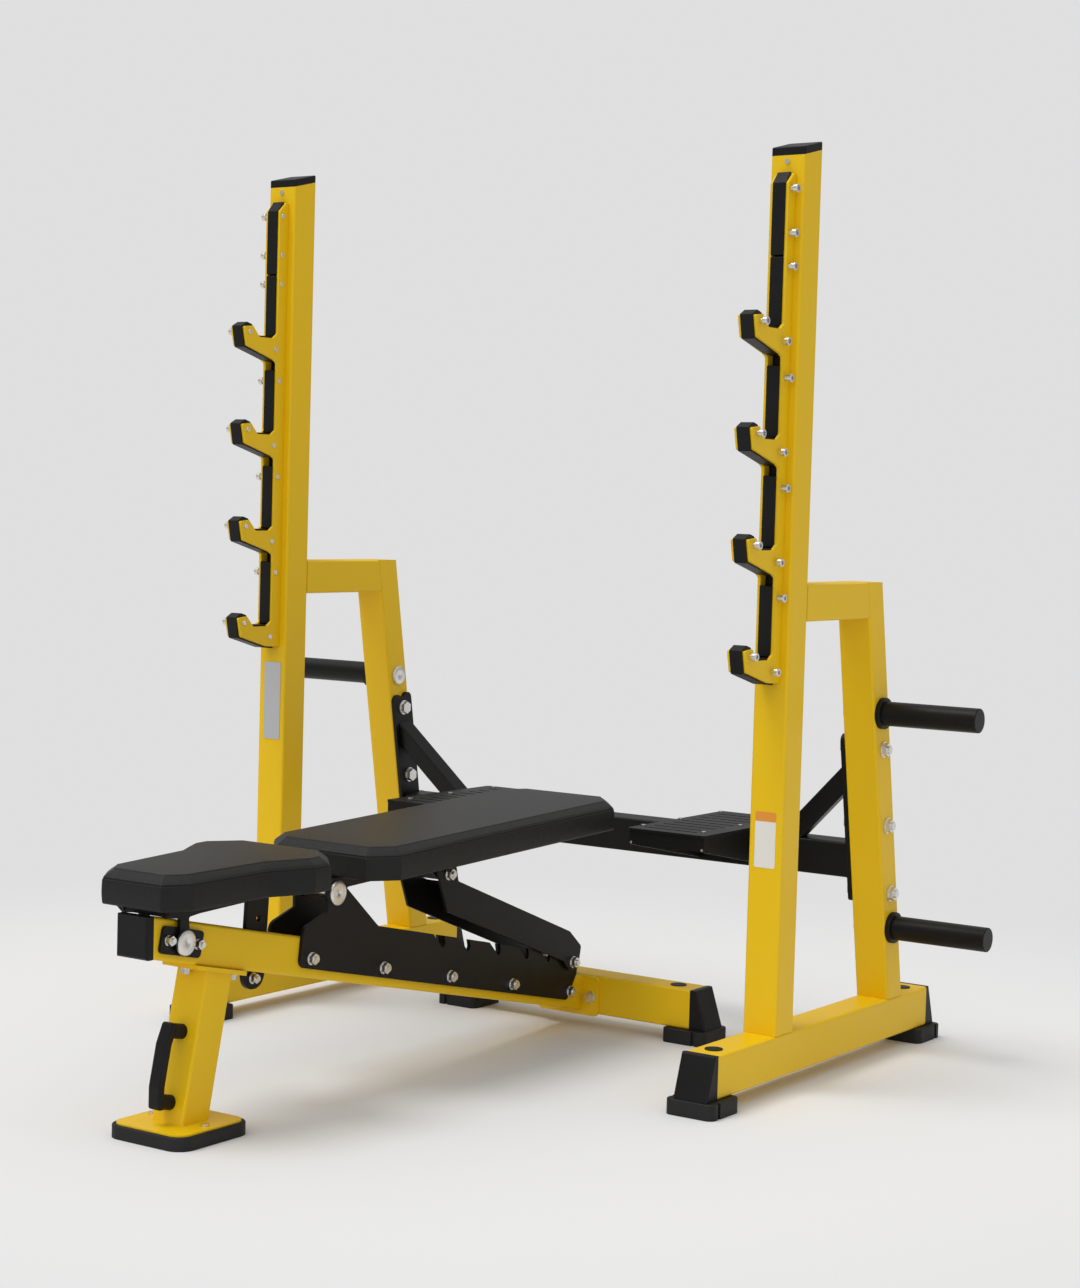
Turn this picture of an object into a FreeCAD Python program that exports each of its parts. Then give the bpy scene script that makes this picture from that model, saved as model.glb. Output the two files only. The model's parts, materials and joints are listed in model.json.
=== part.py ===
"""Olympic bench press: a rack of two side frames with four bar hooks each, joined by
a crossbeam with spotter platforms, and a free-standing adjustable bench between them.

Millimetres.  +X is the user's left when lying down, +Y points to the head end, +Z up.
The origin is on the floor, in the middle of the whole object's plan.
Heights are from the floor.  Places along Y are given from the front face of the
uprights and moved to the origin at the very end, when each node is written.
"""
import FreeCAD, Part
import math
import os

V = FreeCAD.Vector
X_AXIS = V(1, 0, 0)
Y_AXIS = V(0, 1, 0)
Z_AXIS = V(0, 0, 1)

# ---------------------------------------------------------------- driving sizes
SPAN = 600.0                 # centre line of each side frame from the middle
TUBE = 70.0                  # width of every main tube
WALL = 3.0
CORNER = 5.0                 # outer corner radius of the tubes
FOOT_H = 29.0                # rubber foot height
BASE_H = 80.0                # height of the floor beams
BASE_TOP = FOOT_H + BASE_H
BASE_FRONT = -207.0
BASE_REAR = 638.0
FOOT_SIZE = 100.0
FOOT_PAST_END = 43.0         # foot edge beyond the end of the steel beam
PLUG_IN = 42.0               # round plug from the end of the steel beam
CAP_LEAD_TOP = 12.0          # sloped end cap, length at its top and at its bottom
CAP_LEAD_LOW = 38.0

UPRIGHT_D = 68.0
UPRIGHT_TOP = 1724.0         # at the front face
TOP_SLOPE = 14.0
TOP_CAP = 15.0

LINK_LOW = 875.0
LINK_TOP = 945.0
LEG_LEAN = 10.08             # rear leg leans forward going up
LEG_D = 63.0
LEG_FOOT_Y = 460.0           # front face of the rear leg at the top of the floor beam

HOOK_FLOOR = 807.0           # lowest bar seat
HOOK_PITCH = 200.0
HOOK_COUNT = 4
HOOK_GAP = 26.0              # between the two plates of a hook rail
HOOK_PLATE = 6.0
RAIL_FRONT = -27.0
RAIL_TOP = 1690.0
LINER_PROUD = 2.5

PEG_R = 24.0
PEG_LENGTH = 208.0
PEG_HEIGHTS = (687.5, 254.0)
PEG_FLANGE_R = 31.0
PEG_FLANGE = 10.0

BEAM_LOW = 351.0             # crossbeam
BEAM_TOP = 421.0
BEAM_FRONT = 415.0
END_PLATE = 8.0
END_PLATE_LOW = 303.0
END_PLATE_TOP = 640.0
JOINT_BOLTS = (615.0, 462.0, 324.0)
BRACE = 40.0
BRACE_HIGH = 551.0           # brace centre line where it meets the end plate

STEP_IN = 213.5              # spotter platform, inner and outer edge
STEP_OUT = 392.0
STEP_FRONT = 133.6
STEP_REAR = 505.6
STEP_TOP = 445.0
STEP_SHEET = 5.0
STEP_LIP = 33.0
SLOTS = 9
SLOT_PITCH = 36.0
SLOT_MIDDLE = 312.0

# bench
SLOPE = 12.4                 # main beam falls towards the head end
RUN = math.tan(math.radians(SLOPE))
BENCH_TUBE = 70.0
BENCH_FRONT = -1023.0        # steel end of the main beam
CROSS_FRONT = 268.0          # front face of the cross foot
CROSS_HALF = 290.0
BENCH_REAR_TOP = 105.0       # top of the main beam where it meets the cross foot
LEG_STATION = -849.3         # where the front leg's centre line meets the beam's
FRONT_LEG_D = 66.0
FOOT_PLATE_TOP = 26.0
SHOE_RIM_TOP = 23.0

SEAT_PIVOT_Y = -960.4
SEAT_PIN_R = 10.0
SEAT_TRAVEL = 14.0
ARC_R = 233.5                # hole circle of the seat adjuster about the seat pivot
ARC_HALF = 28.0
ARC_PLATE = 8.0
SEAT_SLOPE = 1.3

BACK_PIVOT_Y = -558.4
BACK_PIVOT_Z = 375.0
BACK_PIN_R = 10.0
LADDER = 6.0
LADDER_RISE = 40.0           # ladder's top edge above the main beam
NOTCH_R = 7.2
NOTCHES = (-235.0, -153.0, -51.0, 47.0, 123.0)
BOLT_LIFT = 25.6             # strut bolt in a notch, above the main beam's top

STRUT_PIVOT_Y = -234.4
STRUT_PIVOT_Z = 374.6
STRUT_REST_Y = 200.9
STRUT_REST_Z = 145.5
STRUT_BOLT_R = 6.0
STRUT_SHEET = 5.0
STRUT_IN = 44.0              # inner face of the strut's cheeks

PAD_SLOPE = 2.0
PAD_HALF = 149.0
PAD_BEVEL = 20.0
PAD_SIDE = 46.5
PAD_RISE = 14.5
BOARD = 12.0
PAD_CORNER = 10.0

BACK_FRONT = -557.4
BACK_REAR = 244.6
BACK_LOW_MIDDLE = 415.5      # underside of the back's board, halfway along
SEAT_FRONT = -1041.4
SEAT_REAR = -646.4
SEAT_LOW = 402.0             # underside of the seat's board above the seat pivot

SADDLE = 6.0
LEG_FLANGE = 8.0
FOOT_PLATE = 6.0
SHOE_LONG = 165.0
SHOE_MIDDLE = -915.5
HANDLE_MIDDLE = -208.6       # along the front leg, from the beam's centre line
CROSS_PLUG_IN = 48.0
LADDER_BOLTS = (-627.0, -419.0, -211.0, -3.0, 204.0)
PULL_PIN_R = 5.0
PULL_TRAVEL = 15.0
PULL_PIN_AIR = 1.5

RUN_FIT = 0.05               # radial clearance of a pin that turns
AIR = 0.3                    # gap between faces that only pass each other

# the plan's middle, so that the written model is centred on the origin
PLAN_FRONT = -1041.4
PLAN_REAR = BASE_REAR + FOOT_PAST_END
PLAN_MID = (PLAN_FRONT + PLAN_REAR) / 2


# ---------------------------------------------------------------- small helpers
def box(x0, x1, y0, y1, z0, z1):
    return Part.makeBox(x1 - x0, y1 - y0, z1 - z0, V(x0, y0, z0))


def rod(x, y, z, radius, length, axis=X_AXIS):
    return Part.makeCylinder(radius, length, V(x, y, z), axis)


def outline(points, radii):
    """Closed wire in the YZ plane: corners of the given radii, as true arcs."""
    count = len(points)
    edges = []
    starts = []
    for i in range(count):
        before = V(0, *points[i - 1])
        here = V(0, *points[i])
        after = V(0, *points[(i + 1) % count])
        radius = radii[i] if isinstance(radii, (list, tuple)) else radii
        if radius <= 0:
            starts.append((here, here, None))
            continue
        to_before = (before - here).normalize()
        to_after = (after - here).normalize()
        half = to_before.getAngle(to_after) / 2
        cut = radius / math.tan(half)
        centre = here + (to_before + to_after).normalize() * (radius / math.sin(half))
        middle = centre + (here - centre).normalize() * radius
        starts.append((here + to_before * cut, here + to_after * cut, middle))
    for i in range(count):
        arc_in, arc_out, middle = starts[i]
        if middle is not None:
            edges.append(Part.Arc(arc_in, middle, arc_out).toShape())
        following = starts[(i + 1) % count][0]
        if (following - arc_out).Length > 0.001:
            edges.append(Part.LineSegment(arc_out, following).toShape())
    return Part.Wire(edges)


def plate(points, radii, x0, x1):
    """A YZ outline given a thickness along X."""
    face = Part.Face(outline(points, radii))
    solid = face.extrude(V(x1 - x0, 0, 0))
    solid.translate(V(x0, 0, 0))
    return solid


def rounded_bar(width, depth, length, corner):
    """Bar along +Z with its section centred on the origin."""
    bar = Part.makeBox(width, depth, length, V(-width / 2, -depth / 2, 0))
    if corner <= 0:
        return bar
    upright = [e for e in bar.Edges if abs(e.tangentAt(e.FirstParameter).z) > 0.99]
    return bar.makeFillet(corner, upright)


def tube(width, depth, length):
    """Square tube along +Z, open at both ends."""
    inner = rounded_bar(width - 2 * WALL, depth - 2 * WALL, length + 2, CORNER - WALL)
    inner.translate(V(0, 0, -1))
    return rounded_bar(width, depth, length, CORNER).cut(inner)


def turned(shape, degrees, axis, centre=V(0, 0, 0)):
    copy = shape.copy()
    copy.rotate(centre, axis, degrees)
    return copy


def moved(shape, x=0.0, y=0.0, z=0.0):
    copy = shape.copy()
    copy.translate(V(x, y, z))
    return copy


def hexagon(x, y, z, across, length):
    """Hexagonal head or nut along +X."""
    corners = []
    for k in range(7):
        angle = math.radians(60 * k + 30)
        reach = across / math.sqrt(3)
        corners.append(V(x, y + reach * math.cos(angle), z + reach * math.sin(angle)))
    return Part.Face(Part.makePolygon(corners)).extrude(V(length, 0, 0))


def through_bolt(x0, x1, y, z, shank_r, washer_r, across):
    """Bolt along X between the outer faces x0 and x1, with washers, head and nut."""
    washer = 2.5
    head = 9.0
    body = rod(x0 - washer, y, z, shank_r, x1 - x0 + 2 * washer)
    for side, face in ((-1, x0), (1, x1)):
        start = face - washer if side < 0 else face
        body = body.fuse(rod(start, y, z, washer_r, washer))
        start = face - washer - head if side < 0 else face + washer
        body = body.fuse(hexagon(start, y, z, across, head))
    tip = rod(x1 + washer + head, y, z, shank_r, 4.0)
    return body.fuse(tip)


def mirrored(shape):
    return shape.mirror(V(0, 0, 0), X_AXIS)


def joined(shapes):
    """One compound of separate solids."""
    return Part.makeCompound([s for shape in shapes for s in shape.Solids])


def fused(shapes):
    result = shapes[0]
    for shape in shapes[1:]:
        result = result.fuse(shape)
    return result.removeSplitter()


def soften(shape, radius, chosen):
    """Fillet the edges whose middle point satisfies the given test."""
    edges = []
    for edge in shape.Edges:
        middle = edge.valueAt((edge.FirstParameter + edge.LastParameter) / 2)
        if chosen(middle, edge):
            edges.append(edge)
    return shape.makeFillet(radius, edges)


NODES = {}


def keep(name, shape):
    NODES[name] = shape


def keep_pair(name, right):
    """Write the +X piece as right, and its mirror image as left."""
    keep(name + "_right", right)
    keep(name + "_left", mirrored(right))


# ---------------------------------------------------------------- side frames
def leg_front(z):
    return LEG_FOOT_Y - math.tan(math.radians(LEG_LEAN)) * (z - BASE_TOP)


def leg_axis(z):
    return leg_front(z) + LEG_D / math.cos(math.radians(LEG_LEAN)) / 2


def base_beam():
    length = BASE_REAR - BASE_FRONT
    beam = turned(tube(TUBE, BASE_H, length), -90, X_AXIS)
    beam = moved(beam, SPAN, BASE_FRONT, FOOT_H + BASE_H / 2)
    for y in (BASE_FRONT + PLUG_IN, BASE_REAR - PLUG_IN):
        beam = beam.cut(rod(SPAN, y, BASE_TOP - WALL - 1, 14.0, WALL + 2, Z_AXIS))
    return beam


def above_slope(z_front):
    """Large block above a plane that rises towards the rear at the top's slope."""
    block = box(SPAN - 200, SPAN + 200, -200, 300, 0, 200)
    return moved(turned(block, TOP_SLOPE, X_AXIS), 0, 0, z_front)


def upright():
    body = moved(tube(TUBE, UPRIGHT_D, UPRIGHT_TOP + 60 - BASE_TOP), SPAN, UPRIGHT_D / 2, BASE_TOP)
    return body.cut(above_slope(UPRIGHT_TOP))


def upright_cap():
    """Plastic cap on the sloping top, with a plug that reaches into the tube."""
    outer = moved(rounded_bar(TUBE, UPRIGHT_D, 120, CORNER), SPAN, UPRIGHT_D / 2, UPRIGHT_TOP - 30)
    lid = outer.common(above_slope(UPRIGHT_TOP)).cut(above_slope(UPRIGHT_TOP + TOP_CAP))
    roof = [e for e in lid.Edges if e.CenterOfMass.z > UPRIGHT_TOP + TOP_CAP - 2
            and abs(e.tangentAt(e.FirstParameter).z) < 0.9
            and e.CenterOfMass.z > UPRIGHT_TOP + TOP_CAP * 0.7
            + math.tan(math.radians(TOP_SLOPE)) * e.CenterOfMass.y]
    lid = lid.makeFillet(2.5, roof)
    side = TUBE - 2 * WALL - 0.6
    depth = UPRIGHT_D - 2 * WALL - 0.6
    plug = moved(rounded_bar(side, depth, 120, 1.5), SPAN, UPRIGHT_D / 2, UPRIGHT_TOP - 20)
    return lid.fuse(plug.cut(above_slope(UPRIGHT_TOP)))


def top_link():
    """Short level tube from the upright to the rear leg, cut to the leg's front face."""
    length = 420.0
    link = turned(tube(TUBE, LINK_TOP - LINK_LOW, length), -90, X_AXIS)
    link = moved(link, SPAN, UPRIGHT_D, (LINK_LOW + LINK_TOP) / 2)
    return link.cut(behind_leg(0.0))


def behind_leg(offset):
    """Everything behind the rear leg's front face, moved back by an offset."""
    block = box(SPAN - 200, SPAN + 200, 0, 600, -1300, 1300)
    lean = turned(block, LEG_LEAN, X_AXIS)
    return moved(lean, 0, leg_front(BASE_TOP) + offset, BASE_TOP)


def rear_leg():
    leg = moved(tube(TUBE, LEG_D, 1300), 0, LEG_D / 2, -200)
    leg = moved(turned(leg, LEG_LEAN, X_AXIS), SPAN, LEG_FOOT_Y, BASE_TOP)
    floor = box(SPAN - 100, SPAN + 100, 0, 900, -400, BASE_TOP)
    roof = box(SPAN - 100, SPAN + 100, 0, 900, LINK_TOP, 1600)
    return fused([leg.cut(floor).cut(roof), leg_roof()])


def leg_roof():
    """Welded plate that closes the rear leg's top."""
    y0 = leg_front(LINK_TOP) + WALL / 2
    y1 = leg_front(LINK_TOP) + LEG_D / math.cos(math.radians(LEG_LEAN)) - WALL / 2
    half = TUBE / 2 - WALL / 2
    return box(SPAN - half, SPAN + half, y0, y1, LINK_TOP - WALL, LINK_TOP)


def end_cap(half_width, height):
    """Sloped cap for a floor beam: the beam ends at y=0 and the cap points to -Y."""
    side = [(0, 0), (-CAP_LEAD_LOW, 0), (-CAP_LEAD_TOP, height), (0, height)]
    cap = plate(side, 0, -half_width, half_width)
    cap = soften(cap, 3.5, lambda p, e: p.y < -CAP_LEAD_TOP + 1 and p.z > 1)
    tongue = rounded_bar(2 * (half_width - WALL) - 1, height - 2 * WALL - 1, 23, 2.5)
    tongue = moved(turned(tongue, -90, X_AXIS), 0, -1, height / 2)
    return cap.fuse(tongue)


def rubber_foot():
    """Block foot centred on the origin, with a drip groove in each flank."""
    half = FOOT_SIZE / 2
    foot = rounded_bar(FOOT_SIZE, FOOT_SIZE, FOOT_H, 14.0)
    for side in (-1, 1):
        foot = foot.cut(Part.makeBox(8, 8, FOOT_H + 2, V(side * half - 4, half / 2 - 4, -1)))
    return soften(foot, 2.5, lambda p, e: p.z > FOOT_H - 0.1 and e.Length > 10)


def plug():
    """Round plastic plug: its face stands on the beam, its stem fills the hole."""
    face = Part.makeCylinder(16.5, 1.8)
    stem = Part.makeCylinder(13.9, WALL, V(0, 0, -WALL))
    return face.fuse(stem)


# ---------------------------------------------------------------- hook rails
def hook_floors():
    return [HOOK_FLOOR + HOOK_PITCH * k for k in range(HOOK_COUNT)]


def rail_outline():
    """Front profile of a hook plate, from the foot of the lowest hook upwards."""
    low = HOOK_FLOOR
    points = [(0, low - 44), (-42, low - 42)]
    radii = [0, 8]
    for k, floor in enumerate(hook_floors()):
        if k:
            points += [(RAIL_FRONT, floor - 50), (-38, floor - 44)]
            radii += [6, 4]
        points += [(-122, floor - 20), (-131, floor + 19), (-105, floor + 22)]
        radii += [4, 3, 3]
        points += [(-84, floor), (RAIL_FRONT - 14, floor), (RAIL_FRONT, floor + 10)]
        radii += [8, 6, 5]
    points += [(RAIL_FRONT, RAIL_TOP - 19), (-7, RAIL_TOP), (0, RAIL_TOP)]
    radii += [4, 3, 0]
    return points, radii


def hook_plates():
    points, radii = rail_outline()
    inner = HOOK_GAP / 2
    pair = []
    for side in (-1, 1):
        low = side * inner if side > 0 else -inner - HOOK_PLATE
        pair.append(moved(plate(points, radii, low, low + HOOK_PLATE), SPAN))
    return joined(pair)


def hook_core(floor):
    """Plastic block between the plates of one hook: seat, lip, nose and underside."""
    back = -15.0
    points = [(-134, floor + 20), (-117, floor + 29), (-102, floor + 25), (-84, floor + 3.5)]
    points += [(back, floor + 3.5), (back, floor - 47), (-42, floor - 45), (-125, floor - 23)]
    half = HOOK_GAP / 2
    return moved(plate(points, [3, 2, 3, 6, 0, 0, 4, 3], -half, half), SPAN)


def wear_strip(low, high, chamfer):
    """Upright strip that the bar slides against."""
    front = RAIL_FRONT - LINER_PROUD
    back = RAIL_FRONT + 18
    half = HOOK_GAP / 2
    points = [(back, low), (front, low), (front, high), (back, high)]
    radii = [0, 2, 2, 0]
    if chamfer:
        points = [(back, low), (front, low), (front, high - 19), (front + 17, high + 2), (back, high + 2)]
        radii = [0, 2, 3, 0, 0]
    return moved(plate(points, radii, -half, half), SPAN)


def hook_liners():
    half = HOOK_GAP / 2
    pieces = [box(SPAN - half, SPAN + half, -8.5, -AIR, HOOK_FLOOR - 40, RAIL_TOP - 8)]
    floors = hook_floors()
    for k, floor in enumerate(floors):
        pieces.append(hook_core(floor))
        if k + 1 < HOOK_COUNT:
            pieces.append(wear_strip(floor + 4.5, floor + 135.0, False))
    top = floors[-1]
    middle = (top + RAIL_TOP) / 2 - 9
    pieces.append(wear_strip(top + 4.5, middle - 1.5, False))
    pieces.append(wear_strip(middle + 1.5, RAIL_TOP, True))
    return joined(pieces)


def rail_bolt(y, z):
    """Socket screw through both plates: sleeve and head outside, button head inside."""
    face = HOOK_GAP / 2 + HOOK_PLATE
    bolt = rod(-face - 1, y, z, 3.0, 2 * face + 2)
    button = soften(rod(-face - 2.2, y, z, 5.5, 2.2), 1.4, lambda p, e: p.x < -face - 2)
    sleeve = rod(face, y, z, 5.2, 6.5)
    head = soften(rod(face + 6.5, y, z, 7.8, 9.0), 1.2, lambda p, e: True)
    head = head.cut(hexagon(face + 10.5, y, z, 7.0, 6.0))
    return moved(bolt.fuse(button).fuse(sleeve).fuse(head), SPAN)


def rail_bolt_places():
    places = []
    for k, floor in enumerate(hook_floors()):
        places.append((-114.0, floor + 9))
        places.append((-32.0, floor - 22))
        if k + 1 < HOOK_COUNT:
            places.append((-18.0, floor + 113))
    places += [(-18.0, z) for z in (1521.0, 1581.0, 1661.0)]
    return places


def hook_bolts():
    return joined([rail_bolt(y, z) for y, z in rail_bolt_places()])


# ---------------------------------------------------------------- storage pegs
def storage_peg(z):
    x = SPAN + TUBE / 2
    body = rod(x, leg_axis(z), z, PEG_R, PEG_LENGTH)
    body = soften(body, 2.0, lambda p, e: p.x > x + PEG_LENGTH - 1)
    collar = rod(x, leg_axis(z), z, PEG_FLANGE_R, PEG_FLANGE)
    collar = soften(collar, 2.0, lambda p, e: p.x > x + 1)
    return body.fuse(collar)


def peg_fixing(z):
    """Large flat cap screw that holds a peg from the leg's inner face."""
    x = SPAN - TUBE / 2
    disc = soften(rod(x - 5, leg_axis(z), z, 21.0, 5.0), 1.5, lambda p, e: p.x < x - 4)
    return disc.fuse(rod(x, leg_axis(z), z, 6.0, TUBE + 58))


# ---------------------------------------------------------------- crossbeam
def crossbeam():
    half = SPAN - TUBE / 2 - END_PLATE
    bar = turned(tube(TUBE, BEAM_TOP - BEAM_LOW, 2 * half), 90, Y_AXIS)
    return moved(bar, -half, BEAM_FRONT + TUBE / 2, (BEAM_LOW + BEAM_TOP) / 2)


def end_plate():
    """Plate on the rear leg's inner face, following the leg, with a notched top."""
    x0 = SPAN - TUBE / 2 - END_PLATE
    slant = math.cos(math.radians(LEG_LEAN))
    low = (END_PLATE_LOW - BASE_TOP) / slant
    high = (END_PLATE_TOP - BASE_TOP) / slant
    body = plate([(0, low), (LEG_D, low), (LEG_D, high), (0, high)], [8, 8, 14, 14], x0, x0 + END_PLATE)
    body = body.cut(rod(x0 - 1, LEG_D / 2, high + 6, 13.0, END_PLATE + 2))
    body = moved(turned(body, LEG_LEAN, X_AXIS), 0, LEG_FOOT_Y, BASE_TOP)
    shelf = box(x0, x0 + END_PLATE, BEAM_FRONT, BEAM_FRONT + TUBE, BEAM_LOW, BEAM_TOP)
    return body.fuse(shelf).removeSplitter()


def brace():
    """Square tube at 45 degrees from the end plate down to the crossbeam's top."""
    bar = moved(rounded_bar(BRACE, BRACE, 400, 4.0), 0, 0, -200)
    bar = turned(bar, 45, Y_AXIS)
    slant = (BRACE_HIGH - BASE_TOP) / math.cos(math.radians(LEG_LEAN))
    x_end = SPAN - TUBE / 2 - END_PLATE
    bar = moved(bar, x_end, LEG_D / 2, slant)
    bar = moved(turned(bar, LEG_LEAN, X_AXIS), 0, LEG_FOOT_Y, BASE_TOP)
    inside = box(0, x_end, 0, 900, BEAM_TOP, 1200)
    return bar.common(inside)


def joint_bolts():
    x0 = SPAN - TUBE / 2 - END_PLATE
    x1 = SPAN + TUBE / 2
    return joined([through_bolt(x0, x1, leg_axis(z), z, 8.0, 16.0, 24.0) for z in JOINT_BOLTS])


def spotter_platform():
    """Folded tray carried by the crossbeam, with a slotted tread for one foot."""
    tray = box(STEP_IN, STEP_OUT, STEP_FRONT, STEP_REAR, STEP_TOP - STEP_SHEET, STEP_TOP)
    corners = lambda p, e: abs(e.tangentAt(e.FirstParameter).z) > 0.99
    tray = soften(tray, 9.0, corners)
    for k in range(SLOTS):
        y = SLOT_MIDDLE + (k - (SLOTS - 1) / 2) * SLOT_PITCH
        groove = box(STEP_IN + 19, STEP_OUT - 37, y - 3.5, y + 3.5, STEP_TOP - 10, STEP_TOP + 1)
        tray = tray.cut(soften(groove, 3.4, corners))
    low = STEP_TOP - STEP_SHEET
    cheek = [(STEP_FRONT + 4, low), (STEP_FRONT + 4, STEP_TOP - STEP_LIP)]
    cheek += [(BEAM_FRONT - 2, BEAM_LOW + 6), (BEAM_FRONT - 2, BEAM_TOP + 1), (BEAM_FRONT + TUBE + 2, BEAM_TOP + 1)]
    cheek += [(BEAM_FRONT + TUBE + 2, BEAM_LOW + 6), (STEP_REAR - 4, STEP_TOP - STEP_LIP), (STEP_REAR - 4, low)]
    parts = [tray]
    for x in (STEP_IN + 3, STEP_OUT - 3 - STEP_SHEET):
        parts.append(plate(cheek, [0, 5, 3, 0, 0, 3, 5, 0], x, x + STEP_SHEET))
    for y in (STEP_FRONT + 4, STEP_REAR - 4 - STEP_SHEET):
        parts.append(box(STEP_IN + 3, STEP_OUT - 3, y, y + STEP_SHEET, STEP_TOP - STEP_LIP, low))
    parts.append(box(STEP_IN + 8, STEP_OUT - 8, BEAM_FRONT + 6, BEAM_FRONT + TUBE - 6, BEAM_TOP, low))
    return fused(parts)


def small_screw(x, y, z, axis):
    """Button-head screw whose head stands on the given point."""
    head = Part.makeCylinder(5.0, 2.6, V(x, y, z), axis)
    shank = Part.makeCylinder(2.5, 4.5, V(x, y, z) - axis * 4.5, axis)
    return head.fuse(shank)


def platform_screws():
    """Screws in the tread, and a pair low on the front flange."""
    places = [(x, y) for x in (STEP_IN + 9, STEP_OUT - 30) for y in (180.0, 324.0, 485.0)]
    screws = [small_screw(x, y, STEP_TOP, Z_AXIS) for x, y in places]
    low = STEP_TOP - STEP_LIP + 4
    for x in (STEP_IN + 8, STEP_OUT - 8):
        screws.append(Part.makeCylinder(2.6, 5.5, V(x, STEP_FRONT + 3, low), Y_AXIS))
    return screws


def upright_screw():
    """Screw that holds the top cap, in the upright's front face."""
    return small_screw(SPAN, 0, UPRIGHT_TOP - 11, V(0, -1, 0))


def name_plate():
    """Blank metal plate on the left upright's front face."""
    return soften(box(-SPAN - 20, -SPAN + 24, -1, 0, 567, 730), 3.0, lambda p, e: abs(e.tangentAt(e.FirstParameter).y) > 0.99)


def blank_label():
    return soften(box(SPAN - 22, SPAN + 21, -0.6, 0, 420, 524), 3.0, lambda p, e: abs(e.tangentAt(e.FirstParameter).y) > 0.99)


# ---------------------------------------------------------------- bench structure
def beam_top(y):
    return BENCH_REAR_TOP + RUN * (CROSS_FRONT - y)


def beam_axis(y):
    return beam_top(y) - BENCH_TUBE / math.cos(math.radians(SLOPE)) / 2


def on_beam(shape, station):
    """Place a shape drawn in the beam's own frame: Y along it, Z square to it."""
    return moved(turned(shape, -SLOPE, X_AXIS), 0, station, beam_axis(station))


def seat_pivot():
    return SEAT_PIVOT_Y, beam_axis(SEAT_PIVOT_Y)


def on_arc(degrees, radius=ARC_R):
    y, z = seat_pivot()
    angle = math.radians(degrees)
    return y + radius * math.cos(angle), z + radius * math.sin(angle)


def swept_band(inner, outer, low, high, half_width):
    """Flat arc about the seat pivot, between two angles in degrees."""
    y, z = seat_pivot()
    ring = rod(-half_width, y, z, outer, 2 * half_width)
    ring = ring.cut(rod(-half_width - 1, y, z, inner, 2 * half_width + 2))
    wedge = [(y, z), on_arc(low, 2 * outer), on_arc(high, 2 * outer)]
    return ring.common(plate(wedge, 0, -half_width, half_width))


def main_beam():
    """Sloping tube with its ends cut upright, slotted for the seat adjuster."""
    length = 1500.0
    bar = moved(tube(BENCH_TUBE, BENCH_TUBE, length), 0, 0, -length / 2)
    middle = (BENCH_FRONT + CROSS_FRONT) / 2
    bar = on_beam(turned(bar, -90, X_AXIS), middle)
    bar = bar.common(box(-100, 100, BENCH_FRONT, CROSS_FRONT - SADDLE, 0, 800))
    bar = bar.cut(swept_band(ARC_R - 36, ARC_R + 42, -50, 15, ARC_PLATE / 2 + 1.5))
    y, z = seat_pivot()
    bar = bar.cut(rod(-60, y, z, SEAT_PIN_R + RUN_FIT, 120))
    pin_y, pin_z = on_arc(-SLOPE)
    return bar.cut(rod(-60, pin_y, pin_z, PULL_PIN_R + RUN_FIT, 60))


def frustum(x_half, low, high, y0, y1, inset):
    """Tapered block between two upright rectangles, the second one inset all round."""
    wires = []
    for y, edge in ((y0, 0.0), (y1, inset)):
        corners = [V(-x_half + edge, y, low + edge), V(x_half - edge, y, low + edge)]
        corners += [V(x_half - edge, y, high - edge), V(-x_half + edge, y, high - edge)]
        wires.append(Part.makePolygon(corners + corners[:1]))
    return Part.makeLoft(wires, True, True)


def beam_cap():
    """Bevelled plastic cap on the bench's front end."""
    high = beam_top(BENCH_FRONT)
    low = high - BENCH_TUBE / math.cos(math.radians(SLOPE))
    half = BENCH_TUBE / 2
    rim = box(-half, half, BENCH_FRONT - 12, BENCH_FRONT, low, high)
    nose = frustum(half, low, high, BENCH_FRONT - 12, BENCH_FRONT - 16, 3.5)
    cap = rim.fuse(nose)
    inner = half - WALL - 1.5
    plug_block = box(-inner, inner, BENCH_FRONT - 1, BENCH_FRONT + 18, low + 12, high - 12)
    return cap.fuse(plug_block).removeSplitter()


def front_leg():
    """Leg square to the beam, with its top flange and foot plate welded on."""
    half = BENCH_TUBE / 2
    stem = moved(tube(BENCH_TUBE, FRONT_LEG_D, 420), 0, 0, -420 - half - LEG_FLANGE / 2)
    stem = on_beam(stem, LEG_STATION)
    stem = stem.cut(box(-100, 100, -1100, -700, -300, FOOT_PLATE_TOP - 2))
    flange = box(-46, 46, -64, 62, -half - LEG_FLANGE, -half)
    flange = soften(flange, 10.0, lambda p, e: abs(e.tangentAt(e.FirstParameter).z) > 0.99)
    flange = on_beam(flange, LEG_STATION)
    foot = rounded_bar(160, SHOE_LONG, FOOT_PLATE, 25.0)
    foot = moved(foot, 0, SHOE_MIDDLE, FOOT_PLATE_TOP - FOOT_PLATE)
    return fused([stem, flange, foot])


def shoe():
    """Rubber boot under the foot plate, its rim standing round the plate."""
    body = moved(rounded_bar(160 + 14, SHOE_LONG + 14, SHOE_RIM_TOP, 31.0), 0, SHOE_MIDDLE, 0)
    body = soften(body, 3.0, lambda p, e: p.z > SHOE_RIM_TOP - 0.1)
    pocket = moved(rounded_bar(160, SHOE_LONG, 40, 25.0), 0, SHOE_MIDDLE, FOOT_PLATE_TOP - FOOT_PLATE)
    return body.cut(pocket)


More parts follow.
